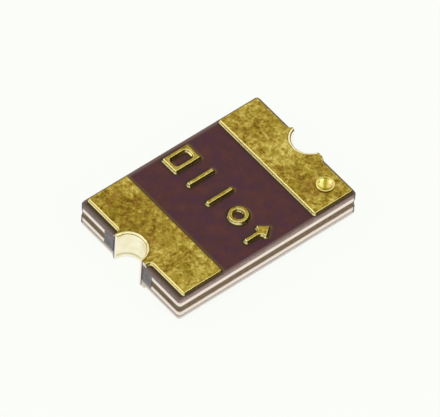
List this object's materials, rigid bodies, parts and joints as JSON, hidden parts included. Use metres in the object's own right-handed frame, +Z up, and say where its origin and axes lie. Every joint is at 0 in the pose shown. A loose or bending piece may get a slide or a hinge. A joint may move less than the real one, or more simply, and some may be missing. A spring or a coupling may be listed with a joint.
{
  "type": "surface-mount resettable fuse",
  "caption": "Flat polymer resettable fuse chip: a carbon-filled core between metal foils, resin insulation, gilt solder pads and half-round plated notches at both ends.",
  "frame": {"origin": "middle of the bounding box's underside, in the plane of the lower solder pads", "axes": "+X along the length, from the near end to the far end; +Y along the width; +Z up, out of the face with the raised marks"},
  "size_m": [0.0046, 0.0032, 0.0008],
  "materials": {
    "filled_polymer": "matt sawn edge",
    "nickel_foil": "bright sawn edge",
    "resin_laminate": "satin",
    "plug_resin": "glassy",
    "gilt_copper": "satin plated, mottled",
    "plated_barrel": "bright plated",
    "solder_mask": "semi-gloss"
  },
  "bodies": {
    "root": {"ptc_core": "filled_polymer", "upper_electrode_foil": "nickel_foil", "lower_electrode_foil": "nickel_foil", "upper_insulation": "resin_laminate", "lower_insulation": "resin_laminate", "near_isolation_plug": "plug_resin", "far_isolation_plug": "plug_resin", "near_upper_pad": "gilt_copper", "far_upper_pad": "gilt_copper", "near_lower_pad": "gilt_copper", "far_lower_pad": "gilt_copper", "near_barrel": "plated_barrel", "far_barrel": "plated_barrel", "far_upper_via": "gilt_copper", "near_lower_via": "gilt_copper", "upper_solder_mask": "solder_mask", "lower_solder_mask": "solder_mask", "frame_mark": "gilt_copper", "first_bar_mark": "gilt_copper", "second_bar_mark": "gilt_copper", "ring_mark": "gilt_copper", "arrow_mark": "gilt_copper", "frame_mask_island": "solder_mask", "ring_mask_island": "solder_mask"}
  },
  "joints": []
}
